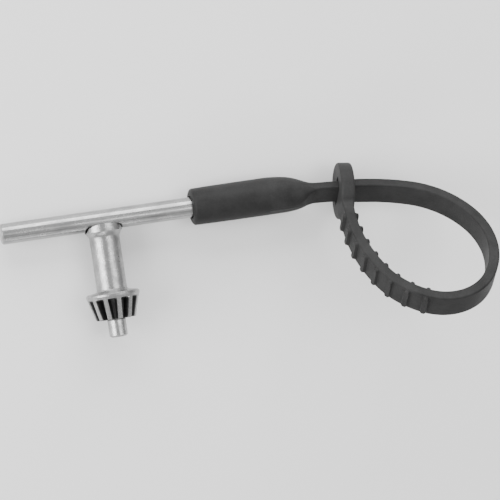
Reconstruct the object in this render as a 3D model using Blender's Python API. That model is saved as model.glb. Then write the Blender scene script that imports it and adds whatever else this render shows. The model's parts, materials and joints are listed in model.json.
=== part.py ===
"""Geared drill chuck key held in a moulded rubber leash.

The key is a steel T: a round cross bar, and a forged body whose cupped collar is welded to the bar's underside and
whose far end is a bevel pinion with a pilot pin.  The leash is one rubber moulding: a blind sleeve on the bar's long
arm, a shoulder, a flat neck, and a strap that loops round to a slotted head which the neck passes through.  Eight
pairs of ribs near the head grip the slot when the strap is drawn tight round a cord.

Frames: the key frame has X along the bar towards the leash, Y away from the pinion and its origin where the body's
axis crosses the bar's.  The loop frame shares that X; its XY plane is the plane that the strap bends in.
The key lies on its side, on the collar, the pinion's rim and the sleeve's lip.
"""

import math

import bmesh
import bpy
from mathutils import Matrix, Vector

MM = 0.001
GAP = 0.3 * MM                    # clearance between neighbouring solids

# Cross bar
BAR_R = 3.8 * MM
BAR_FREE_ARM = 37.5 * MM          # free end to the body's axis
BAR_LONG_ARM = 60.0 * MM          # the body's axis to the end inside the sleeve
BAR_EDGE = 0.7 * MM               # rounded rim of each end

# Key body, by depth below the bar's axis
COLLAR_R = 6.9 * MM
COLLAR_TOP = 0.4 * MM
COLLAR_DEPTH = 4.2 * MM           # level below which it narrows to the shank
LIP_RISE = 0.41                   # slope at which the collar's lip climbs the bar's front and back
SADDLE_R = 4.4 * MM               # the cup that the bar lies in
SHANK_R = 5.6 * MM
SHANK_TOP = 6.8 * MM
SHANK_END = 25.5 * MM
RIM_R = 9.9 * MM
RIM_DEPTH = 27.9 * MM
GROOVE_START = 28.8 * MM
TOE_R = 7.5 * MM                  # pinion's small end
TOE_DEPTH = 36.6 * MM
HEEL_ROOT_R = 6.9 * MM            # groove bottoms at the large and the small end
TOE_ROOT_R = 5.1 * MM
TEETH = 12
TOOTH_PHASE = math.radians(2.2)
LAND_HEEL = 0.32                  # tooth top as a share of the pitch
LAND_TOE = 0.42
ROOT_HEEL = 0.40                  # groove bottom as a share of the pitch
ROOT_TOE = 0.30
PILOT_R = 3.4 * MM
PILOT_END = 43.3 * MM
PILOT_CHAMFER = 0.6 * MM

# Sleeve
LIP_X = 34.5 * MM
LIP_R = 6.8 * MM
LIP_EDGE = 0.9 * MM
SLEEVE_R = 7.07 * MM
SLEEVE_END_X = 63.0 * MM
BORE_R = BAR_R + GAP

# Leash centreline in the loop frame: arcs of (length mm, turn degrees) from the sleeve's end
LEASH_ARCS = ((10.0, 10.0), (7.2, -7.0), (24.0, 8.0), (14.0, 10.0), (25.0, 41.5),
              (35.0, 71.5), (26.5, 76.5), (20.0, 38.5), (31.5, 31.0))
# Cross-section stations of the shoulder: (distance, half width, half thickness, corner radius), mm
SHOULDER_STATIONS = ((0.0, 7.07, 7.07, 7.07), (6.4, 6.80, 6.80, 6.80), (8.8, 6.53, 6.53, 6.53),
                     (11.1, 6.05, 6.00, 5.95), (13.6, 5.40, 4.85, 4.70), (16.0, 4.70, 3.05, 2.50),
                     (18.3, 4.25, 2.00, 1.00), (20.7, 4.20, 1.75, 0.60))
NECK_WIDTH = 8.4 * MM
NECK_THICKNESS = 3.5 * MM
STRAP_WIDTH = 9.6 * MM
STRAP_THICKNESS = 3.9 * MM
STRAP_CORNER = 0.6 * MM
WIDEN_FROM, WIDEN_TO = 26.0 * MM, 36.0 * MM      # the neck grows to the strap's size
NECK_FLEX = 21.7 * MM                            # distances of the flexing lines
STRAP_FLEX = (55.2 * MM, 80.2 * MM, 115.2 * MM, 139.5 * MM, 165.4 * MM)
NECK_FLEX_GAP = 1.0 * MM
STRAP_FLEX_GAP = 0.4 * MM

# Ribs, in pairs on the two broad faces
RIB_COUNT = 8
RIB_PITCH = 6.75 * MM
RIB_LAST = 189.3 * MM             # distance of the rib pair nearest the head
RIB_HEIGHT = 1.1 * MM
RIB_HALF_LENGTH = 1.1 * MM
RIB_END = 0.3 * MM                # slope at each end of a rib

# Head
HEAD_R = 10.75 * MM
HEAD_OFFSET = 11.9 * MM           # end of the centreline to the head's centre
HEAD_THICKNESS = 5.2 * MM
HEAD_EDGE = 0.8 * MM
HEAD_FILLET = 2.5 * MM
STUB_LENGTH = 12.9 * MM           # head's centre to the end of its strap stub
SLOT_WIDTH = 10.4 * MM
SLOT_HEIGHT = 5.4 * MM

# Attitude
LOOP_TURN = math.radians(140.0)   # loop frame's Y from the key frame's Y, about the bar


# ---------------------------------------------------------------- scene and mesh helpers

def clear_scene():
    for obj in list(bpy.data.objects):
        bpy.data.objects.remove(obj, do_unlink=True)


def principled(name, colour, roughness, metallic):
    mat = bpy.data.materials.new(name)
    mat.use_nodes = True
    shader = mat.node_tree.nodes["Principled BSDF"]
    shader.inputs["Base Color"].default_value = (*colour, 1.0)
    shader.inputs["Roughness"].default_value = roughness
    shader.inputs["Metallic"].default_value = metallic
    return mat


def empty(name, parent=None, location=(0.0, 0.0, 0.0), rotation=(0.0, 0.0, 0.0)):
    obj = bpy.data.objects.new(name, None)
    bpy.context.collection.objects.link(obj)
    obj.parent = parent
    obj.location = location
    obj.rotation_euler = rotation
    return obj


def add_object(name, bm, material=None, parent=None, origin=(0.0, 0.0, 0.0), parent_origin=(0.0, 0.0, 0.0)):
    """Turn bm, drawn in its frame's coordinates, into an object whose own origin is at `origin` there."""
    bmesh.ops.translate(bm, verts=bm.verts, vec=-Vector(origin))
    bmesh.ops.recalc_face_normals(bm, faces=bm.faces)
    mesh = bpy.data.meshes.new(name)
    bm.to_mesh(mesh)
    bm.free()
    mesh.shade_smooth()
    mesh.set_sharp_from_angle(angle=math.radians(32.0))
    obj = bpy.data.objects.new(name, mesh)
    bpy.context.collection.objects.link(obj)
    obj.parent = parent
    obj.location = Vector(origin) - Vector(parent_origin)
    if material:
        mesh.materials.append(material)
    return obj


def loft(rings):
    """Closed skin over a run of rings with equal point counts, with a flat cap at each end."""
    bm = bmesh.new()
    rows = [[bm.verts.new(point) for point in ring] for ring in rings]
    count = len(rings[0])
    for low, high in zip(rows, rows[1:]):
        for i in range(count):
            j = (i + 1) % count
            bm.faces.new((low[i], low[j], high[j], high[i]))
    bm.faces.new(rows[0])
    bm.faces.new(rows[-1])
    return bm


def cut(target, cutter):
    cutter.hide_render = True
    cutter.display_type = "WIRE"
    modifier = target.modifiers.new(cutter.name, "BOOLEAN")
    modifier.operation = "DIFFERENCE"
    modifier.solver = "EXACT"
    modifier.object = cutter


def circle_about_x(x, radius, count):
    turn = 2.0 * math.pi / count
    return [Vector((x, radius * math.cos(i * turn), radius * math.sin(i * turn))) for i in range(count)]


def rounded_edge(x_end, x_in, r_end, r_in, steps=3):
    """(x, radius) pairs of a quarter round from an end face's edge to a cylinder's side."""
    pairs = []
    for i in range(steps + 1):
        angle = 0.5 * math.pi * i / steps
        pairs.append((x_in + (x_end - x_in) * math.cos(angle), r_end + (r_in - r_end) * math.sin(angle)))
    return pairs


# ---------------------------------------------------------------- steel key

def build_bar(parent):
    left = rounded_edge(-BAR_FREE_ARM, BAR_EDGE - BAR_FREE_ARM, BAR_R - BAR_EDGE, BAR_R)
    right = rounded_edge(BAR_LONG_ARM, BAR_LONG_ARM - BAR_EDGE, BAR_R - BAR_EDGE, BAR_R)
    rings = [circle_about_x(x, r, 40) for x, r in left + right[::-1]]
    steel = principled("bar_steel", (0.62, 0.62, 0.62), 0.33, 1.0)
    return add_object("t_bar", loft(rings), steel, parent)


def pinion_ring(depth, outer, root, land, floor):
    """One level of the toothed body: per tooth three points on the land, and three at the groove's edges and floor."""
    pitch = 2.0 * math.pi / TEETH
    marks = ((-0.5 * land, outer), (0.0, outer), (0.5 * land, outer),
             (0.5 - 0.5 * floor, root), (0.5, root), (0.5 + 0.5 * floor, root))
    points = []
    for tooth in range(TEETH):
        for share, radius in marks:
            angle = (tooth + share) * pitch + TOOTH_PHASE
            points.append(Vector((radius * math.sin(angle), -depth, radius * math.cos(angle))))
    return points


def round_level(depth, radius, land=LAND_HEEL, floor=ROOT_HEEL):
    return pinion_ring(depth, radius, radius, land, floor)


def face_radius(depth):
    """Radius of the pinion's face cone."""
    return RIM_R + (TOE_R - RIM_R) * (depth - RIM_DEPTH) / (TOE_DEPTH - RIM_DEPTH)


def root_radius(depth):
    return HEEL_ROOT_R + (TOE_ROOT_R - HEEL_ROOT_R) * (depth - RIM_DEPTH) / (TOE_DEPTH - RIM_DEPTH)


def saddle_outline(reach):
    """Space above the collar's lip, as (y, z): the bar's round seat, with a plane climbing away on each side."""
    side = 0.5 * SADDLE_R
    for _ in range(20):                                        # where the plane leaves the seat
        side = math.sqrt(SADDLE_R ** 2 - (COLLAR_DEPTH - LIP_RISE * side) ** 2)
    spread = math.asin(side / SADDLE_R)
    seat = []
    for i in range(25):
        angle = spread * (i / 12.0 - 1.0)
        seat.append((-SADDLE_R * math.cos(angle), SADDLE_R * math.sin(angle)))
    lip = LIP_RISE * reach - COLLAR_DEPTH
    return [(reach, -reach), (lip, -reach)] + seat + [(lip, reach), (reach, reach)]


def build_body(parent):
    levels = [round_level(COLLAR_TOP, COLLAR_R), round_level(COLLAR_DEPTH, COLLAR_R)]
    flare = COLLAR_R - SHANK_R
    for share in (0.15, 0.3, 0.5, 0.75):                      # the collar flares out of the shank in a hollow curve
        depth = COLLAR_DEPTH + (SHANK_TOP - COLLAR_DEPTH) * share
        levels.append(round_level(depth, SHANK_R + flare * (1.0 - share) ** 2))
    levels += [round_level(SHANK_TOP, SHANK_R), round_level(SHANK_END, SHANK_R),
               round_level(SHANK_END + 0.5 * MM, SHANK_R + 0.15 * MM),
               round_level(SHANK_END + 0.8 * MM, SHANK_R + 0.6 * MM),
               round_level(RIM_DEPTH - 1.1 * MM, RIM_R - 0.5 * MM),
               round_level(RIM_DEPTH - 0.7 * MM, RIM_R - 0.1 * MM), round_level(RIM_DEPTH, RIM_R),
               round_level(GROOVE_START, face_radius(GROOVE_START))]
    for depth, share in ((GROOVE_START + 0.15 * MM, 0.45), (GROOVE_START + 0.5 * MM, 0.85),
                         (GROOVE_START + 1.2 * MM, 1.0)):     # the grooves run out under the rim
        outer = face_radius(depth)
        levels.append(pinion_ring(depth, outer, outer + (root_radius(depth) - outer) * share, LAND_HEEL, ROOT_HEEL))
    toe_edge = TOE_DEPTH - 0.35 * MM
    levels += [pinion_ring(toe_edge, face_radius(toe_edge), root_radius(toe_edge), LAND_TOE, ROOT_TOE),
               pinion_ring(TOE_DEPTH, TOE_R - 0.35 * MM, TOE_ROOT_R - 0.1 * MM, LAND_TOE, ROOT_TOE),
               round_level(TOE_DEPTH, PILOT_R), round_level(PILOT_END - PILOT_CHAMFER, PILOT_R),
               round_level(PILOT_END, PILOT_R - PILOT_CHAMFER)]
    steel = principled("body_steel", (0.58, 0.58, 0.58), 0.38, 1.0)
    body = add_object("key_body", loft(levels), steel, parent)
    reach = 9.0 * MM
    rings = [[Vector((x, y, z)) for y, z in saddle_outline(reach)] for x in (-reach, reach)]
    cut(body, add_object("saddle_cutter", loft(rings), parent=parent))
    return body


# ---------------------------------------------------------------- leash

def centreline(distance):
    """Point and heading on the leash's centreline, `distance` beyond the sleeve's end, in the loop frame."""
    x, y, heading = SLEEVE_END_X, 0.0, 0.0
    for length, turn in LEASH_ARCS:
        run = min(distance, length * MM)
        bend = math.radians(turn) / (length * MM)
        x += (math.sin(heading + bend * run) - math.sin(heading)) / bend
        y += (math.cos(heading) - math.cos(heading + bend * run)) / bend
        heading += bend * run
        distance -= run
        if distance <= 0.0:
            break
    return Vector((x + distance * math.cos(heading), y + distance * math.sin(heading), 0.0)), heading


def smoothstep(t):
    t = min(max(t, 0.0), 1.0)
    return t * t * (3.0 - 2.0 * t)


def across(distance, sideways, outward):
    """Point on the section at `distance`: `sideways` along the strap's width, `outward` away from the loop."""
    point, heading = centreline(distance)
    return point + Vector((outward * math.sin(heading), -outward * math.cos(heading), sideways))


def shoulder_section(distance):
    stations = SHOULDER_STATIONS
    d = min(max(distance / MM, stations[0][0]), stations[-1][0])
    for low, high in zip(stations, stations[1:]):
        if d <= high[0]:
            t = (d - low[0]) / (high[0] - low[0])
            return [(a + (b - a) * t) * MM for a, b in zip(low[1:], high[1:])]
    return [value * MM for value in stations[-1][1:]]


def shoulder_ring(distance, per_corner=6):
    half_width, half_thickness, corner = shoulder_section(distance)
    points = []
    for quadrant, (sx, sy) in enumerate(((1, 1), (-1, 1), (-1, -1), (1, -1))):
        for i in range(per_corner):
            angle = 0.5 * math.pi * (quadrant + (i + 0.5) / per_corner)
            points.append(across(distance, sx * (half_width - corner) + corner * math.cos(angle),
                                 sy * (half_thickness - corner) + corner * math.sin(angle)))
    return points


def strap_ring(distance, rib=0.0):
    """Section of the neck or strap; rib is the share of the rib height that stands on each broad face."""
    grow = smoothstep((distance - WIDEN_FROM) / (WIDEN_TO - WIDEN_FROM))
    half_width = 0.5 * (NECK_WIDTH + (STRAP_WIDTH - NECK_WIDTH) * grow)
    half_thickness = 0.5 * (NECK_THICKNESS + (STRAP_THICKNESS - NECK_THICKNESS) * grow)
    corner = STRAP_CORNER
    edge = half_width - corner
    crest = edge - RIB_END
    face = [(-edge, 0.0), (-crest, rib), (0.0, rib), (crest, rib), (edge, 0.0)]
    points = []
    for side in (1.0, -1.0):
        points += [across(distance, side * v, side * (half_thickness + RIB_HEIGHT * h)) for v, h in face]
        for end in (1.0, -1.0):
            for degrees in (15.0, 45.0, 75.0):
                lean = math.radians(degrees)
                sweep = (math.sin(lean), math.cos(lean)) if end > 0.0 else (math.cos(lean), math.sin(lean))
                points.append(across(distance, side * (half_width - corner + corner * sweep[0]),
                                     side * end * (half_thickness - corner + corner * sweep[1])))
    return points


def strap_levels(start, stop, step=2.0 * MM):
    """Section distances from start to stop with the share of rib height at each."""
    ribs = [RIB_LAST - RIB_PITCH * k for k in range(RIB_COUNT)]
    inside = sorted(r for r in ribs if start < r < stop)
    levels = [(start, 0.0)]
    for rib in inside:
        for offset, share in ((-1.0, 0.0), (-0.75, 0.7), (-0.35, 1.0), (0.35, 1.0), (0.75, 0.7), (1.0, 0.0)):
            levels.append((rib + offset * RIB_HALF_LENGTH, share))
    levels.append((stop, 0.0))
    full = [levels[0]]
    for low, high in zip(levels, levels[1:]):
        pieces = max(1, round((high[0] - low[0]) / step)) if low[1] == high[1] == 0.0 else 1
        full += [(low[0] + (high[0] - low[0]) * i / pieces, high[1]) for i in range(1, pieces + 1)]
    return full


def build_sleeve(parent):
    outside = [(SLEEVE_END_X - 0.5 * GAP, SLEEVE_R), (0.5 * (LIP_X + SLEEVE_END_X), SLEEVE_R - 0.04 * MM)]
    lip = rounded_edge(LIP_X, LIP_X + LIP_EDGE, LIP_R - LIP_EDGE, LIP_R)[::-1]
    bore = [(LIP_X, BORE_R + 0.4 * MM), (LIP_X + 0.4 * MM, BORE_R), (BAR_LONG_ARM + GAP, BORE_R)]
    rings = [circle_about_x(x, r, 40) for x, r in outside + lip + bore]
    rubber = principled("sleeve_rubber", (0.060, 0.060, 0.060), 0.62, 0.0)
    return add_object("sleeve", loft(rings), rubber, parent, (LIP_X, 0.0, 0.0))


def build_shoulder(parent, origin):
    start, stop = 0.5 * GAP, NECK_FLEX - 0.5 * NECK_FLEX_GAP
    steps = 14
    rings = [shoulder_ring(start + (stop - start) * i / steps) for i in range(steps + 1)]
    rubber = principled("shoulder_rubber", (0.060, 0.060, 0.060), 0.62, 0.0)
    return add_object("shoulder", loft(rings), rubber, parent, origin, origin)


def head_frame():
    """Head's own frame within the loop frame: X towards the head's crown, Y along the neck, Z across the strap."""
    point, heading = centreline(sum(length for length, _ in LEASH_ARCS) * MM)
    crown = Vector((math.cos(heading), math.sin(heading), 0.0))
    width = Vector((0.0, 0.0, 1.0))
    along = width.cross(crown)
    matrix = Matrix((crown, along, width)).transposed().to_4x4()
    matrix.translation = point + crown * HEAD_OFFSET
    return matrix


def head_outline(inset, arc_steps=30, fillet_steps=4):
    """Head's outline (towards the crown, across): a disc with a strap-wide stub and filleted corners."""
    half = 0.5 * STRAP_WIDTH
    centre_z = half + HEAD_FILLET
    centre_x = -math.sqrt((HEAD_R + HEAD_FILLET) ** 2 - centre_z ** 2)
    touch = math.atan2(centre_z, -centre_x)                    # angle at which the disc meets the fillet
    side = [(-STUB_LENGTH, half - inset)]
    for i in range(fillet_steps + 1):
        angle = -0.5 * math.pi + (0.5 * math.pi - touch) * i / fillet_steps
        side.append((centre_x + (HEAD_FILLET + inset) * math.cos(angle),
                     centre_z + (HEAD_FILLET + inset) * math.sin(angle)))
    arc = []
    for i in range(1, arc_steps):
        angle = math.pi - touch - 2.0 * (math.pi - touch) * i / arc_steps
        arc.append(((HEAD_R - inset) * math.cos(angle), (HEAD_R - inset) * math.sin(angle)))
    return side + arc + [(x, -z) for x, z in side[::-1]]


def build_head(parent, origin, parent_origin):
    frame = head_frame()
    layers = ((-1.0, HEAD_EDGE), (-0.9, 0.25 * HEAD_EDGE), (-0.7, 0.0), (0.7, 0.0), (0.9, 0.25 * HEAD_EDGE),
              (1.0, HEAD_EDGE))
    rings = []
    for level, inset in layers:
        ring = []
        for x, z in head_outline(inset):
            swell = smoothstep((x + STUB_LENGTH) / (STUB_LENGTH - HEAD_R + 2.5 * MM))
            half = 0.5 * (STRAP_THICKNESS + (HEAD_THICKNESS - STRAP_THICKNESS) * swell)
            ring.append(frame @ Vector((x, level * half, z)))
        rings.append(ring)
    rubber = principled("head_rubber", (0.075, 0.075, 0.075), 0.6, 0.0)
    head = add_object("head", loft(rings), rubber, parent, origin, parent_origin)

    corner = 0.7 * MM
    slot = []
    for quadrant, (sx, sz) in enumerate(((1, 1), (-1, 1), (-1, -1), (1, -1))):
        for i in range(4):
            angle = 0.5 * math.pi * (quadrant + i / 3.0)
            slot.append((sx * (0.5 * SLOT_HEIGHT - corner) + corner * math.cos(angle),
                         sz * (0.5 * SLOT_WIDTH - corner) + corner * math.sin(angle)))
    reach = HEAD_THICKNESS
    rings = [[frame @ Vector((x, y, z)) for x, z in slot] for y in (-reach, reach)]
    cut(head, add_object("slot_cutter", loft(rings), parent=parent, origin=origin, parent_origin=parent_origin))
    return head


def build_leash(key, loop):
    """The moulding, divided where it flexes: every piece's origin is on the line that it flexes about."""
    build_sleeve(key)
    turn_centre, _ = centreline(0.0)
    shoulder = build_shoulder(loop, turn_centre)
    shoulder.location = turn_centre
    hinges = [NECK_FLEX, *STRAP_FLEX]
    gaps = [NECK_FLEX_GAP] + [STRAP_FLEX_GAP] * len(STRAP_FLEX)
    names = ("strap_neck", "strap_bend", "strap_side", "strap_foot", "ribbed_lower", "ribbed_upper")
    total = sum(length for length, _ in LEASH_ARCS) * MM
    end = total + HEAD_OFFSET - STUB_LENGTH - GAP
    parent, parent_origin = shoulder, turn_centre
    for i, name in enumerate(names):
        start = hinges[i] + 0.5 * gaps[i]
        stop = hinges[i + 1] - 0.5 * gaps[i + 1] if i + 1 < len(hinges) else end
        rings = [strap_ring(distance, rib) for distance, rib in strap_levels(start, stop)]
        rubber = principled(name + "_rubber", (0.070, 0.070, 0.070), 0.6, 0.0)
        origin, _ = centreline(hinges[i])
        piece = add_object(name, loft(rings), rubber, parent, origin, parent_origin)
        parent, parent_origin = piece, origin
    build_head(parent, parent_origin, parent_origin)


# ---------------------------------------------------------------- attitude

def lying_angles(points):
    """Turns about X and Y that rest the collar, the pinion's rim and the leash on one plane."""
    roll = math.atan2(RIM_R - COLLAR_R, RIM_DEPTH - COLLAR_DEPTH)
    axis_height = RIM_R * math.cos(roll) - RIM_DEPTH * math.sin(roll)
    turned = [Matrix.Rotation(-roll, 3, "X") @ p for p in points if p.x > LIP_X]
    rise = max(math.atan2(-p.z - axis_height, p.x) for p in turned)
    return -roll, -rise


def solid_points():
    """Every vertex of the finished pieces, in world space."""
    bpy.context.view_layer.update()
    graph = bpy.context.evaluated_depsgraph_get()
    points = []
    for obj in bpy.context.scene.objects:
        if obj.type == "MESH" and not obj.hide_render:
            solid = obj.evaluated_get(graph)
            points += [solid.matrix_world @ vertex.co for vertex in solid.data.vertices]
    return points


def rest_on_floor(assembly):
    """Lay the assembly down, then stand its box on the ground plane, centred on the origin."""
    roll, rise = lying_angles(solid_points())
    assembly.rotation_euler = (roll, rise, 0.0)
    corners = solid_points()
    low = [min(c[i] for c in corners) for i in range(3)]
    high = [max(c[i] for c in corners) for i in range(3)]
    assembly.location = (-0.5 * (low[0] + high[0]), -0.5 * (low[1] + high[1]), -low[2])
    bpy.context.view_layer.update()


def main():
    clear_scene()
    assembly = empty("key_frame")
    loop = empty("loop_frame", parent=assembly, rotation=(LOOP_TURN, 0.0, 0.0))
    build_bar(assembly)
    build_body(assembly)
    build_leash(assembly, loop)
    rest_on_floor(assembly)


main()
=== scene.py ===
"""Looks of a geared drill chuck key held in a moulded rubber leash.

The bar and the key's forged body keep their CAD shapes and get steel finishes.  The rubber leash is made of
skins built here: it is one moulding, cut midway between the lines it flexes at.  Lengths in the dimension lists
are millimetres; MM turns them into metres.  The camera, floor and lights are in metres.
"""
import json
import math

import bmesh
import bpy
from mathutils import Matrix, Vector


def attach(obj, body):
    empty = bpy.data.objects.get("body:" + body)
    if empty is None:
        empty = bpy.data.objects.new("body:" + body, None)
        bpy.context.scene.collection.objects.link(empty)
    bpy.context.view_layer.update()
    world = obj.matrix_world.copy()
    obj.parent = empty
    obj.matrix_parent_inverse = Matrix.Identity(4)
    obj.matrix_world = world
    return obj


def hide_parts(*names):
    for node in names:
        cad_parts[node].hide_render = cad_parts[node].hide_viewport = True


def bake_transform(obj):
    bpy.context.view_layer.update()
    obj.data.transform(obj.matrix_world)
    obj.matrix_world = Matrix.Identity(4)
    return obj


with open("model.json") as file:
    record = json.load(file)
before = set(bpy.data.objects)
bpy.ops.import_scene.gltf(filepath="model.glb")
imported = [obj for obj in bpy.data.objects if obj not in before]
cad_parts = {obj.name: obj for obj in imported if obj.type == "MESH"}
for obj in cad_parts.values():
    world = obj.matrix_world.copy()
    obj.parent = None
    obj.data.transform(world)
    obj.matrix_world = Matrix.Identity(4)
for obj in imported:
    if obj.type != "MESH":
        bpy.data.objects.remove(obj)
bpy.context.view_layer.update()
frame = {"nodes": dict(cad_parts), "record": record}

MM = 0.001

# Sleeve, by distance from the key body's axis along the bar.  The rolled lip is drawn here only: it reaches
# a little further towards the key body than the CAD sleeve does.
SLEEVE_END, SLEEVE_R = 63.0, 7.07
SLEEVE_TAPER = ((SLEEVE_END, 0.0), (55.0, 0.02), (48.75, 0.04), (41.0, 0.10))   # (place, radius lost)
LIP_X, LIP_R, LIP_EDGE, LIP_ROLL = 33.8, 6.85, 1.15, 2.2
BAR_END, BORE_R, BORE_SPARE = 60.0, 4.1, 0.3
BORE_MOUTH = ((0.0, 0.25), (0.08, 0.08), (0.3, 0.0))                            # (depth, radius gained)

# Leash beyond the sleeve, as in the CAD: arcs of its centreline, as (length, turn in degrees), and stations
# of its shoulder, as (distance, half width, half thickness, corner radius)
LEASH_ARCS = ((10.0, 10.0), (7.2, -7.0), (24.0, 8.0), (14.0, 10.0), (25.0, 41.5),
              (35.0, 71.5), (26.5, 76.5), (20.0, 38.5), (31.5, 31.0))
SHOULDER_STATIONS = ((0.0, 7.07, 7.07, 7.07), (6.4, 6.80, 6.80, 6.80), (8.8, 6.53, 6.53, 6.53),
                     (11.1, 6.05, 6.00, 5.95), (13.6, 5.40, 4.85, 4.70), (16.0, 4.70, 3.05, 2.50),
                     (18.3, 4.25, 2.00, 1.00), (20.7, 4.20, 1.75, 0.60))
NECK_WIDTH, NECK_THICKNESS = 8.4, 3.5
STRAP_WIDTH, STRAP_THICKNESS, STRAP_CORNER = 9.6, 3.9, 0.6
WIDEN_FROM, WIDEN_TO = 26.0, 36.0
LEASH_LENGTH = sum(length for length, _ in LEASH_ARCS)

# Lines the leash flexes at, by distance beyond the sleeve's end, and how far the bend spreads each way
HINGES = (21.7, 55.2, 80.2, 115.2, 139.5, 165.4)
NECK_SPREAD, STRAP_SPREAD = 3.0, 6.0

# Ribs: spaced as in the CAD, and drawn here as shorter, round-ended pills
RIB_COUNT, RIB_PITCH, RIB_LAST = 8, 6.75, 189.3
RIB_HEIGHT, RIB_REACH, RIB_RADIUS, RIB_FLANK = 1.1, 3.2, 1.22, 0.34

# Head, as in the CAD
HEAD_R, HEAD_OFFSET, HEAD_THICKNESS = 10.75, 11.9, 5.2
HEAD_EDGE, HEAD_FILLET, STUB_LENGTH = 0.8, 2.5, 12.9
HEAD_SWELL_END = 2.5               # how far inside the head's rim its full thickness is reached
SLOT_WIDTH, SLOT_HEIGHT, SLOT_CORNER, SLOT_EDGE = 10.4, 5.4, 0.7, 0.35

# Key body, by depth below the bar's axis, as in the CAD
RIM_R, RIM_DEPTH = 9.9, 27.9
COLLAR_DEPTH, LIP_RISE, SADDLE_R = 4.2, 0.41, 4.4
TOE_R, TOE_DEPTH = 7.5, 36.6
LOOP_TURN = math.radians(140.0)    # of the leash's plane about the bar, from the key's

# Painted shade on the steel's seats, grooves and root, each as (where it starts, where it is full) or the other
# way round
WELD_SHADE, WELD_REACH = (-0.95, -0.55), (7.0, 7.5)      # over the collar's lip; from the body's axis
TOOTH_START, TOE_BLUR = (28.7, 29.4), 0.2                # by depth; to each side of the toe
GROOVE_SHADE = (0.10, 0.60)                              # below the cone through the teeth's tips
SEAT_SHADE = (0.05, 0.20)                                # beyond the seat's radius
PILOT_ROOT, ROOT_SHADE = 0.1, (0.15, 0.55)               # below the toe; from that depth

# Splits of the leash skin, midway between the lines it flexes at
SPLITS = (38.4, 67.7, 97.7, 127.3, 152.2)

# Fineness of the skins
SHARP_ANGLE = math.radians(40.0)
SLEEVE_SIDES, LIP_STEPS = 96, 14
CORNER_STEPS, FACE_STEPS, EDGE_STEPS = 8, 26, 7
RING_STEP, RIB_RING_STEP, SHORTEST_STEP, RIB_MARGIN = 0.45, 0.14, 0.1, 0.1
HEAD_ARC_STEPS, HEAD_FILLET_STEPS, HEAD_SIDE_STEPS, HEAD_END_STEPS = 120, 10, 6, 12
HEAD_EDGE_STEPS, SLOT_CORNER_STEPS = 5, 12
HEAD_FACE_SHARES = (0.2, 0.4, 0.6, 0.8)

# Camera, light and floor
CAMERA_PLACE = (-0.1926, 0.0957, 0.6969)
CAMERA_RIGHT = (0.9512, -0.1146, 0.2865)
CAMERA_UP = (0.1472, 0.9846, -0.0948)
CAMERA_LENS, CAMERA_SENSOR, CAMERA_NEAR = 138.37, 36.0, 0.05
LIT_POINT = (0.0, 0.0, 0.02)
WORLD_STRENGTH = 0.75
# Softboxes: name, degrees right of the camera and over it, distance, size, radiance
LIGHTS = (("overhead_light", 0.0, 58.0, 0.9, (1.1, 0.55), 5.8),
          ("left_light", -48.0, -4.0, 0.9, (0.55, 0.6), 8.5),
          ("right_light", 38.0, 0.0, 0.9, (0.40, 0.5), 4.2),
          ("low_light", 0.0, -70.0, 0.8, (0.7, 0.16), 4.5))
FLOOR_HALF, FLOOR_GREY = 1.5, 0.90


# ---------------------------------------------------------------- frames from the joints

joints = {joint["name"]: joint for joint in frame["record"]["behaviour"]["joints"]}
bar_axis = Vector(joints["leash_turn"]["axis"]).normalized()
flex_axis = Vector(joints["neck_flex"]["axis"])
flex_axis = (flex_axis - flex_axis.dot(bar_axis) * bar_axis).normalized()
LOOP = Matrix((bar_axis, flex_axis.cross(bar_axis), flex_axis)).transposed().to_4x4()
LOOP.translation = Vector(joints["leash_turn"]["pos_m"]) - bar_axis * SLEEVE_END * MM
KEY = LOOP @ Matrix.Rotation(-LOOP_TURN, 4, "X")


def smoothstep(t):
    t = min(max(t, 0.0), 1.0)
    return t * t * (3.0 - 2.0 * t)


def centreline(distance):
    """Point (mm) and heading on the leash's centreline, `distance` beyond the sleeve's end."""
    x, y, heading = SLEEVE_END, 0.0, 0.0
    for length, turn in LEASH_ARCS:
        run = min(distance, length)
        bend = math.radians(turn) / length
        x += (math.sin(heading + bend * run) - math.sin(heading)) / bend
        y += (math.cos(heading) - math.cos(heading + bend * run)) / bend
        heading += bend * run
        distance -= run
        if distance <= 0.0:
            break
    return Vector((x + distance * math.cos(heading), y + distance * math.sin(heading), 0.0)), heading


def on_leash(point_mm):
    """Where a point given in the leash's own frame, in mm, lies in the scene."""
    return LOOP @ (point_mm * MM)


# ---------------------------------------------------------------- mesh helpers

def new_piece(name, bm, material):
    bmesh.ops.recalc_face_normals(bm, faces=bm.faces)
    mesh = bpy.data.meshes.new(name)
    bm.to_mesh(mesh)
    bm.free()
    mesh.shade_smooth()
    mesh.set_sharp_from_angle(angle=SHARP_ANGLE)
    mesh.materials.append(material)
    obj = bpy.data.objects.new(name, mesh)
    bpy.context.collection.objects.link(obj)
    return obj


def loft(rings, closed_run=False):
    """Skin over a run of rings; the two ends are capped, or joined to each other for a closed run."""
    bm = bmesh.new()
    rows = [[bm.verts.new(point) for point in ring] for ring in rings]
    pairs = list(zip(rows, rows[1:])) + ([(rows[-1], rows[0])] if closed_run else [])
    count = len(rings[0])
    for low, high in pairs:
        for i in range(count):
            j = (i + 1) % count
            bm.faces.new((low[i], low[j], high[j], high[i]))
    if not closed_run:
        bm.faces.new(rows[0][::-1])
        bm.faces.new(rows[-1])
    return bm


def quarter(steps):
    """Angles of a quarter turn, both ends included."""
    return [0.5 * math.pi * i / steps for i in range(steps + 1)]


# ---------------------------------------------------------------- leash sections

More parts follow.
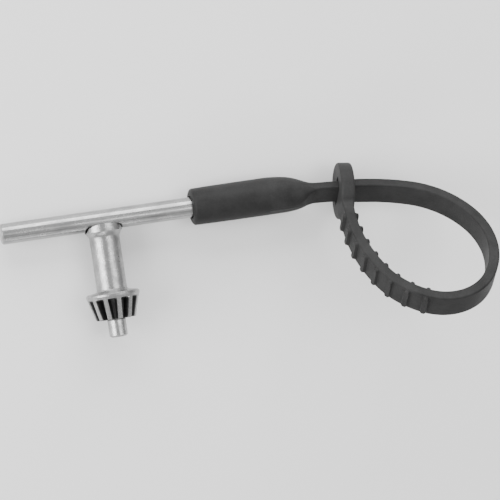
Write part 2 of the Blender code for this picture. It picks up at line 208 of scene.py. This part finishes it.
def spline(stations, d):
    """Smooth values through stations (key, a, b, ...), by a Catmull-Rom curve on the key."""
    keys = [station[0] for station in stations]
    d = min(max(d, keys[0]), keys[-1])
    i = max(k for k in range(len(keys) - 1) if keys[k] <= d)
    t = (d - keys[i]) / (keys[i + 1] - keys[i])
    values = []
    for column in range(1, len(stations[0])):
        p1, p2 = stations[i][column], stations[i + 1][column]
        width = keys[i + 1] - keys[i]
        m1 = (p2 - stations[i - 1][column]) / (keys[i + 1] - keys[i - 1]) * width if i else 0.0
        last = i + 2 >= len(keys)
        m2 = 0.0 if last else (stations[i + 2][column] - p1) / (keys[i + 2] - keys[i]) * width
        values.append((2 * t ** 3 - 3 * t ** 2 + 1) * p1 + (t ** 3 - 2 * t ** 2 + t) * m1
                      + (3 * t ** 2 - 2 * t ** 3) * p2 + (t ** 3 - t ** 2) * m2)
    return values


def section(distance):
    """(half width, half thickness, corner radius) of the leash, mm."""
    if distance < SHOULDER_STATIONS[-1][0]:
        return spline(SHOULDER_STATIONS, distance)
    grow = smoothstep((distance - WIDEN_FROM) / (WIDEN_TO - WIDEN_FROM))
    return (0.5 * (NECK_WIDTH + (STRAP_WIDTH - NECK_WIDTH) * grow),
            0.5 * (NECK_THICKNESS + (STRAP_THICKNESS - NECK_THICKNESS) * grow), STRAP_CORNER)


def rib_height(distance, sideways):
    """Height of the pill-shaped rib pads above the strap's broad faces."""
    place = round((RIB_LAST - distance) / RIB_PITCH)
    if not 0 <= place < RIB_COUNT:
        return 0.0
    along = distance - (RIB_LAST - place * RIB_PITCH)
    beyond = max(abs(sideways) - RIB_REACH, 0.0)
    return RIB_HEIGHT * smoothstep((RIB_RADIUS - math.hypot(along, beyond)) / RIB_FLANK)


def leash_ring(distance):
    """Points round the leash at a distance, with every face divided so that the ribs can rise from it."""
    half_width, half_thickness, corner = section(distance)
    point, heading = centreline(distance)
    out = Vector((math.sin(heading), -math.cos(heading), 0.0))
    side = Vector((0.0, 0.0, 1.0))
    corners = []
    for quadrant, (sx, sy) in enumerate(((1, 1), (-1, 1), (-1, -1), (1, -1))):
        arc = []
        for i in range(CORNER_STEPS):
            angle = 0.5 * math.pi * (quadrant + (i + 0.5) / CORNER_STEPS)
            v = sx * (half_width - corner) + corner * math.cos(angle)
            lift = abs(math.sin(angle)) * rib_height(distance, v)
            arc.append((v, sy * (half_thickness - corner + lift) + corner * math.sin(angle)))
        corners.append(arc)
    flat = []
    for quadrant, steps in enumerate((FACE_STEPS, EDGE_STEPS, FACE_STEPS, EDGE_STEPS)):
        arc, after = corners[quadrant], corners[(quadrant + 1) % 4][0]
        flat += arc
        for i in range(1, steps):
            t = i / steps
            v = arc[-1][0] + (after[0] - arc[-1][0]) * t
            w = arc[-1][1] + (after[1] - arc[-1][1]) * t
            if steps == FACE_STEPS:
                w = math.copysign(half_thickness + rib_height(distance, v), w)
            flat.append((v, w))
    return [on_leash(point + out * w + side * v) for v, w in flat]


def leash_levels(start, stop):
    """Distances of the rings: even steps, closer over the ribs."""
    levels = []
    d = start
    while d < stop - 1e-6:
        levels.append(d)
        place = (RIB_LAST - d) / RIB_PITCH
        in_row = -0.5 < place < RIB_COUNT - 0.5
        near_rib = in_row and abs(place - round(place)) * RIB_PITCH < RIB_RADIUS + RIB_MARGIN
        d += RIB_RING_STEP if near_rib else RING_STEP
    if stop - levels[-1] < SHORTEST_STEP:
        levels.pop()
    return levels + [stop]


# ---------------------------------------------------------------- materials

MID = (0.3, 0.7)                   # where most of a noise's values lie


class Recipe:
    """A node material in the making, with short ways to add and join nodes."""

    def __init__(self, name):
        self.material = bpy.data.materials.new(name)
        self.material.use_nodes = True
        self.tree = self.material.node_tree
        self.shader = self.tree.nodes["Principled BSDF"]
        self.place = self.node("ShaderNodeTexCoord").outputs["Object"]

    def node(self, kind, **settings):
        node = self.tree.nodes.new(kind)
        for key, value in settings.items():
            setattr(node, key, value)
        return node

    def put(self, socket, value):
        if isinstance(value, bpy.types.NodeSocket):
            self.tree.links.new(value, socket)
        else:
            socket.default_value = value

    def mapped(self, scale=(1.0, 1.0, 1.0), turn=(0.0, 0.0, 0.0), shift=(0.0, 0.0, 0.0)):
        node = self.node("ShaderNodeMapping")
        self.put(node.inputs["Vector"], self.place)
        node.inputs["Location"].default_value = shift
        node.inputs["Rotation"].default_value = turn
        node.inputs["Scale"].default_value = scale
        return node.outputs["Vector"]

    def noise(self, scale, detail=3.0, rough=0.55, source=None):
        node = self.node("ShaderNodeTexNoise")
        self.put(node.inputs["Vector"], source or self.place)
        node.inputs["Scale"].default_value = scale
        node.inputs["Detail"].default_value = detail
        node.inputs["Roughness"].default_value = rough
        return node.outputs["Fac"]

    def range(self, value, low, high, to_low, to_high, smooth=False):
        node = self.node("ShaderNodeMapRange", interpolation_type="SMOOTHSTEP" if smooth else "LINEAR")
        self.put(node.inputs["Value"], value)
        ends = {"From Min": low, "From Max": high, "To Min": to_low, "To Max": to_high}
        for name, number in ends.items():
            node.inputs[name].default_value = number
        return node.outputs["Result"]

    def math(self, operation, a, b=0.0):
        node = self.node("ShaderNodeMath", operation=operation)
        self.put(node.inputs[0], a)
        self.put(node.inputs[1], b)
        return node.outputs["Value"]

    def hypot(self, a, b):
        squares = self.math("ADD", self.math("MULTIPLY", a, a), self.math("MULTIPLY", b, b))
        return self.math("SQRT", squares)

    def mix(self, factor, a, b):
        node = self.node("ShaderNodeMix", data_type="RGBA")
        self.put(node.inputs["Factor"], factor)
        self.put(node.inputs["A"], a)
        self.put(node.inputs["B"], b)
        return node.outputs["Result"]

    def bump(self, height, strength, distance, normal=None):
        node = self.node("ShaderNodeBump")
        node.inputs["Strength"].default_value = strength
        node.inputs["Distance"].default_value = distance
        self.put(node.inputs["Height"], height)
        if normal:
            self.put(node.inputs["Normal"], normal)
        return node.outputs["Normal"]


def grey(value):
    return (value, value, value, 1.0)


def rubber(name, dark, light):
    """Matt moulded rubber: cloudy greys, a fine pebble from the mould, and dusty specks."""
    r = Recipe(name)
    cloud = r.noise(scale=140.0, detail=4.0, rough=0.6)
    grain = r.noise(scale=2600.0, detail=2.0, rough=0.6)
    pebble = r.noise(scale=1500.0, detail=3.0, rough=0.5)
    tone = r.math("ADD", r.range(cloud, *MID, 0.0, 0.65), r.range(grain, 0.25, 0.75, 0.0, 0.35))
    base = r.mix(tone, grey(dark), grey(light))
    dust = r.range(r.noise(scale=3800.0, detail=1.0), 0.66, 0.74, 0.0, 0.35)
    r.put(r.shader.inputs["Base Color"], r.mix(dust, base, grey(light * 1.9)))
    r.put(r.shader.inputs["Roughness"], r.range(cloud, *MID, 0.48, 0.62))
    r.shader.inputs["Specular IOR Level"].default_value = 0.14
    normal = r.bump(pebble, strength=0.50, distance=0.15 * MM)
    r.put(r.shader.inputs["Normal"], r.bump(grain, strength=0.40, distance=0.08 * MM, normal=normal))
    return r.material


def key_place(r):
    """Shaded point in the key's own frame: depth below the bar's axis, z, distance from the body's axis."""
    inverse = KEY.inverted()
    split = r.node("ShaderNodeSeparateXYZ")
    r.put(split.inputs["Vector"], r.mapped(turn=inverse.to_euler(), shift=inverse.translation))
    x, y, z = split.outputs
    return r.math("MULTIPLY", y, -1.0), z, r.hypot(x, z)


def weld_shadow(r, depth, z, radius):
    """Painted shadow in the seat between the bar and the collar's lip, 0 to 1."""
    lip = r.math("SUBTRACT", COLLAR_DEPTH * MM, r.math("MULTIPLY", r.math("ABSOLUTE", z), LIP_RISE))
    start, full = (value * MM for value in WELD_SHADE)
    below = r.range(r.math("SUBTRACT", depth, lip), start, full, 0.0, 1.0, smooth=True)
    full, gone = (value * MM for value in WELD_REACH)
    return r.math("MULTIPLY", below, r.range(radius, full, gone, 1.0, 0.0, smooth=True))


def bar_steel():
    """Plated bar drawn along its length: fine lines, cloudy patches and small handling marks."""
    r = Recipe("bar_steel_drawn")
    turn = KEY.to_3x3().transposed().to_euler()
    lines = r.noise(scale=1.0, detail=4.0, rough=0.65, source=r.mapped((60.0, 1900.0, 1900.0), turn))
    cloud = r.noise(scale=260.0, detail=5.0, rough=0.65, source=r.mapped((0.45, 1.0, 1.0), turn))
    marks = r.noise(scale=1700.0, detail=3.0, rough=0.7)
    tone = r.math("ADD", r.range(cloud, *MID, 0.0, 0.7), r.range(lines, *MID, 0.0, 0.3))
    # painted shadow: the seat under the collar's lip is drawn near-black on the bar's steel
    scale = r.math("MULTIPLY", weld_shadow(r, *key_place(r)), 0.92)
    r.put(r.shader.inputs["Base Color"], r.mix(scale, r.mix(tone, grey(0.20), grey(0.46)), grey(0.012)))
    r.shader.inputs["Metallic"].default_value = 1.0
    r.put(r.shader.inputs["Roughness"], r.range(cloud, 0.3, 0.72, 0.34, 0.20))
    normal = r.bump(lines, strength=0.25, distance=0.10 * MM)
    r.put(r.shader.inputs["Normal"], r.bump(marks, strength=0.30, distance=0.08 * MM, normal=normal))
    return r.material


def key_steel():
    """Tumbled forging: speckled bright skin, with painted shade in the pinion's grooves, the collar's seat and
    the pilot's root.
    """
    r = Recipe("key_steel_tumbled")
    depth, z, radius = key_place(r)
    slope = (TOE_R - RIM_R) / (TOE_DEPTH - RIM_DEPTH)
    cone = r.math("MULTIPLY_ADD", depth, slope)
    cone.node.inputs[2].default_value = (RIM_R - slope * RIM_DEPTH) * MM
    sunk = r.math("SUBTRACT", cone, radius)
    start, full = (value * MM for value in TOOTH_START)
    toe, tip = (TOE_DEPTH + TOE_BLUR) * MM, (TOE_DEPTH - TOE_BLUR) * MM
    toothed = r.math("MULTIPLY", r.range(depth, start, full, 0.0, 1.0), r.range(depth, toe, tip, 0.0, 1.0))
    start, full = (value * MM for value in GROOVE_SHADE)
    groove = r.math("MULTIPLY", toothed, r.range(sunk, start, full, 0.0, 1.0, smooth=True))
    full, gone = ((SADDLE_R + value) * MM for value in SEAT_SHADE)
    seat = r.range(r.hypot(depth, z), full, gone, 1.0, 0.0)
    from_root = r.math("ABSOLUTE", r.math("SUBTRACT", depth, (TOE_DEPTH + PILOT_ROOT) * MM))
    full, gone = (value * MM for value in ROOT_SHADE)
    root = r.range(from_root, full, gone, 0.85, 0.0)
    # painted shade: the pinion's grooves, the collar's seat and the corner at the pilot's root are drawn
    # near-black
    painted_shade = r.math("MAXIMUM", groove, r.math("MAXIMUM", seat, root))
    cloud = r.noise(scale=300.0, detail=5.0, rough=0.65)
    speck = r.noise(scale=2100.0, detail=3.0, rough=0.7)
    tone = r.math("ADD", r.range(cloud, *MID, 0.0, 0.6), r.range(speck, *MID, 0.0, 0.4))
    base = r.mix(tone, grey(0.20), grey(0.50))
    r.put(r.shader.inputs["Base Color"], r.mix(r.math("MULTIPLY", painted_shade, 0.90), base, grey(0.02)))
    r.shader.inputs["Metallic"].default_value = 1.0
    rough = r.range(cloud, 0.3, 0.72, 0.36, 0.22)
    r.put(r.shader.inputs["Roughness"], r.math("ADD", rough, r.math("MULTIPLY", painted_shade, 0.25)))
    dents = r.noise(scale=900.0, detail=3.0, rough=0.6)
    normal = r.bump(dents, strength=0.35, distance=0.18 * MM)
    r.put(r.shader.inputs["Normal"], r.bump(speck, strength=0.40, distance=0.12 * MM, normal=normal))
    return r.material


LEASH_RUBBER = rubber("leash_rubber_matt", 0.011, 0.031)
SLEEVE_RUBBER = rubber("sleeve_rubber_matt", 0.011, 0.027)
HEAD_RUBBER = rubber("head_rubber_matt", 0.013, 0.034)


# ---------------------------------------------------------------- leash pieces

def build_sleeve():
    """The sleeve, from its flat end over its lip and into the bore."""
    outside = [(x, SLEEVE_R - lost) for x, lost in SLEEVE_TAPER]
    lip = [(LIP_X + LIP_EDGE * (1.0 - math.sin(a)), LIP_R - LIP_ROLL * (1.0 - math.cos(a)))
           for a in quarter(LIP_STEPS)]
    bore = [(LIP_X + depth, BORE_R + gained) for depth, gained in BORE_MOUTH]
    bore.append((BAR_END + BORE_SPARE, BORE_R))
    angles = [2 * math.pi * i / SLEEVE_SIDES for i in range(SLEEVE_SIDES)]
    rings = []
    for x, radius in outside + lip + bore:
        rings.append([LOOP @ Vector((x * MM, radius * MM * math.cos(a), radius * MM * math.sin(a)))
                      for a in angles])
    obj = new_piece("sleeve_skin", loft(rings), SLEEVE_RUBBER)
    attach(obj, "sleeve")
    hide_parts("sleeve")


def build_strap():
    """The moulding from the sleeve's end to the head, cut midway between its flexing lines."""
    starts = (0.0,) + SPLITS
    stops = SPLITS + (LEASH_LENGTH + HEAD_OFFSET - STUB_LENGTH,)
    stand_for = (("shoulder", "strap_neck"), ("strap_bend",), ("strap_side",), ("strap_foot",),
                 ("ribbed_lower",), ("ribbed_upper",))
    for i, nodes in enumerate(stand_for):
        rings = [leash_ring(d) for d in leash_levels(starts[i], stops[i])]
        obj = new_piece(nodes[-1] + "_skin", loft(rings), LEASH_RUBBER)
        spread = NECK_SPREAD if i == 0 else STRAP_SPREAD
        before, after = (on_leash(centreline(HINGES[i] + d)[0]) for d in (-spread, spread))
        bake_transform(obj)
        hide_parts(*nodes)


def head_outline(inset):
    """Head's outline (towards the crown, across): a disc with a strap-wide stub and filleted corners."""
    half = 0.5 * STRAP_WIDTH
    centre_z = half + HEAD_FILLET
    centre_x = -math.sqrt((HEAD_R + HEAD_FILLET) ** 2 - centre_z ** 2)
    touch = math.atan2(centre_z, -centre_x)
    side = [(-STUB_LENGTH + (STUB_LENGTH + centre_x) * i / HEAD_SIDE_STEPS, half - inset)
            for i in range(HEAD_SIDE_STEPS)]
    for i in range(HEAD_FILLET_STEPS + 1):
        angle = -0.5 * math.pi + (0.5 * math.pi - touch) * i / HEAD_FILLET_STEPS
        side.append((centre_x + (HEAD_FILLET + inset) * math.cos(angle),
                     centre_z + (HEAD_FILLET + inset) * math.sin(angle)))
    arc = []
    for i in range(1, HEAD_ARC_STEPS):
        angle = math.pi - touch - 2.0 * (math.pi - touch) * i / HEAD_ARC_STEPS
        arc.append(((HEAD_R - inset) * math.cos(angle), (HEAD_R - inset) * math.sin(angle)))
    end = [(-STUB_LENGTH, (half - inset) * (2.0 * i / HEAD_END_STEPS - 1.0))
           for i in range(1, HEAD_END_STEPS)]
    return side + arc + [(x, -z) for x, z in side[::-1]] + end


def slot_outline(grow):
    """The slot's rounded oblong (towards the crown, across) with `grow` added all round, as fine points."""
    corner = SLOT_CORNER + grow
    centre_x, centre_z = 0.5 * SLOT_HEIGHT - SLOT_CORNER, 0.5 * SLOT_WIDTH - SLOT_CORNER
    points = []
    for quadrant, (sx, sz) in enumerate(((1, 1), (-1, 1), (-1, -1), (1, -1))):
        for angle in quarter(SLOT_CORNER_STEPS):
            turned = angle + 0.5 * math.pi * quadrant
            points.append((sx * centre_x + corner * math.cos(turned),
                           sz * centre_z + corner * math.sin(turned)))
    return points


def ray_on(outline, angle):
    """Point of a star-shaped outline in the direction `angle` from its centre."""
    direction = (math.cos(angle), math.sin(angle))
    best = None
    for (ax, az), (bx, bz) in zip(outline, outline[1:] + outline[:1]):
        dx, dz = bx - ax, bz - az
        cross = direction[0] * dz - direction[1] * dx
        if abs(cross) < 1e-12:
            continue
        reach = (ax * dz - az * dx) / cross
        share = (ax * direction[1] - az * direction[0]) / cross
        if reach > 0.0 and -1e-9 <= share <= 1.0 + 1e-9:
            best = reach
    return (best * direction[0], best * direction[1])


def build_head():
    """The round head, as profiles set side by side round its slot."""
    point, heading = centreline(LEASH_LENGTH)
    crown = Vector((math.cos(heading), math.sin(heading), 0.0))
    width = Vector((0.0, 0.0, 1.0))
    along = width.cross(crown)
    centre = point + crown * HEAD_OFFSET

    def half(x):
        swell = smoothstep((x + STUB_LENGTH) / (STUB_LENGTH - HEAD_R + HEAD_SWELL_END))
        return 0.5 * (STRAP_THICKNESS + (HEAD_THICKNESS - STRAP_THICKNESS) * swell)

    rim_angles = quarter(HEAD_EDGE_STEPS)
    outlines = [head_outline(HEAD_EDGE * (1.0 - math.cos(a))) for a in rim_angles]
    slots = [slot_outline(SLOT_EDGE * (1.0 - math.cos(a))) for a in rim_angles]
    columns = []
    for i, (x, z) in enumerate(outlines[0]):
        inner = [ray_on(slot, math.atan2(z, x)) for slot in slots]
        outer = [outline[i] for outline in outlines]
        top = [(p, half(p[0]) - SLOT_EDGE * (1.0 - math.sin(a))) for p, a in zip(inner, rim_angles)]
        for t in HEAD_FACE_SHARES:
            p = tuple(inner[-1][k] + (outer[-1][k] - inner[-1][k]) * t for k in (0, 1))
            top.append((p, half(p[0])))
        top += [(p, half(p[0]) - HEAD_EDGE * (1.0 - math.sin(a)))
                for p, a in zip(outer[::-1], rim_angles[::-1])]
        profile = top + [(p, -y) for p, y in top[::-1]]
        columns.append([on_leash(centre + crown * p[0] + along * y + width * p[1]) for p, y in profile])
    obj = new_piece("head_skin", loft(columns, closed_run=True), HEAD_RUBBER)
    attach(obj, "loop_end")
    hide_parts("head")


def dress(node, material):
    """Give a CAD node that stays the finished material."""
    obj = frame["nodes"][node]
    for slot in obj.material_slots:
        slot.material = material


# ---------------------------------------------------------------- floor, light, camera

def build_stage():
    bm = bmesh.new()
    bmesh.ops.create_grid(bm, x_segments=1, y_segments=1, size=FLOOR_HALF)
    material = bpy.data.materials.new("floor_paper")
    material.use_nodes = True
    shader = material.node_tree.nodes["Principled BSDF"]
    shader.inputs["Base Color"].default_value = grey(FLOOR_GREY)
    shader.inputs["Roughness"].default_value = 0.9
    shader.inputs["Specular IOR Level"].default_value = 0.1
    floor = new_piece("floor", bm, material)


def softbox(name, aside, above, distance, size, radiance):
    """Rectangular light, `aside` degrees right of the camera's direction and `above` degrees over it."""
    right, up = Vector(CAMERA_RIGHT), Vector(CAMERA_UP)
    towards = right.cross(up)
    a, b = math.radians(aside), math.radians(above)
    direction = towards * math.cos(a) * math.cos(b) + right * math.sin(a) * math.cos(b) + up * math.sin(b)
    light = bpy.data.lights.new(name, "AREA")
    light.shape = "RECTANGLE"
    light.size, light.size_y = size
    light.energy = radiance * math.pi * size[0] * size[1]
    obj = bpy.data.objects.new(name, light)
    bpy.context.collection.objects.link(obj)
    obj.location = Vector(LIT_POINT) + direction * distance
    obj.rotation_euler = direction.to_track_quat("Z", "Y").to_euler()


def build_light():
    world = bpy.data.worlds.new("studio")
    world.use_nodes = True
    background = world.node_tree.nodes["Background"]
    background.inputs["Color"].default_value = (1.0, 1.0, 1.0, 1.0)
    background.inputs["Strength"].default_value = WORLD_STRENGTH
    bpy.context.scene.world = world
    for light in LIGHTS:
        softbox(*light)


def build_camera():
    camera = bpy.data.cameras.new("camera")
    camera.lens = CAMERA_LENS
    camera.sensor_width = CAMERA_SENSOR
    camera.clip_start = CAMERA_NEAR
    obj = bpy.data.objects.new("camera", camera)
    bpy.context.collection.objects.link(obj)
    right = Vector(CAMERA_RIGHT).normalized()
    back = right.cross(Vector(CAMERA_UP)).normalized()
    turn = Matrix((right, back.cross(right), back)).transposed().to_4x4()
    obj.matrix_world = Matrix.Translation(CAMERA_PLACE) @ turn
    bpy.context.scene.camera = obj


dress("t_bar", bar_steel())
dress("key_body", key_steel())
build_sleeve()
build_strap()
build_head()
build_stage()
build_light()
build_camera()
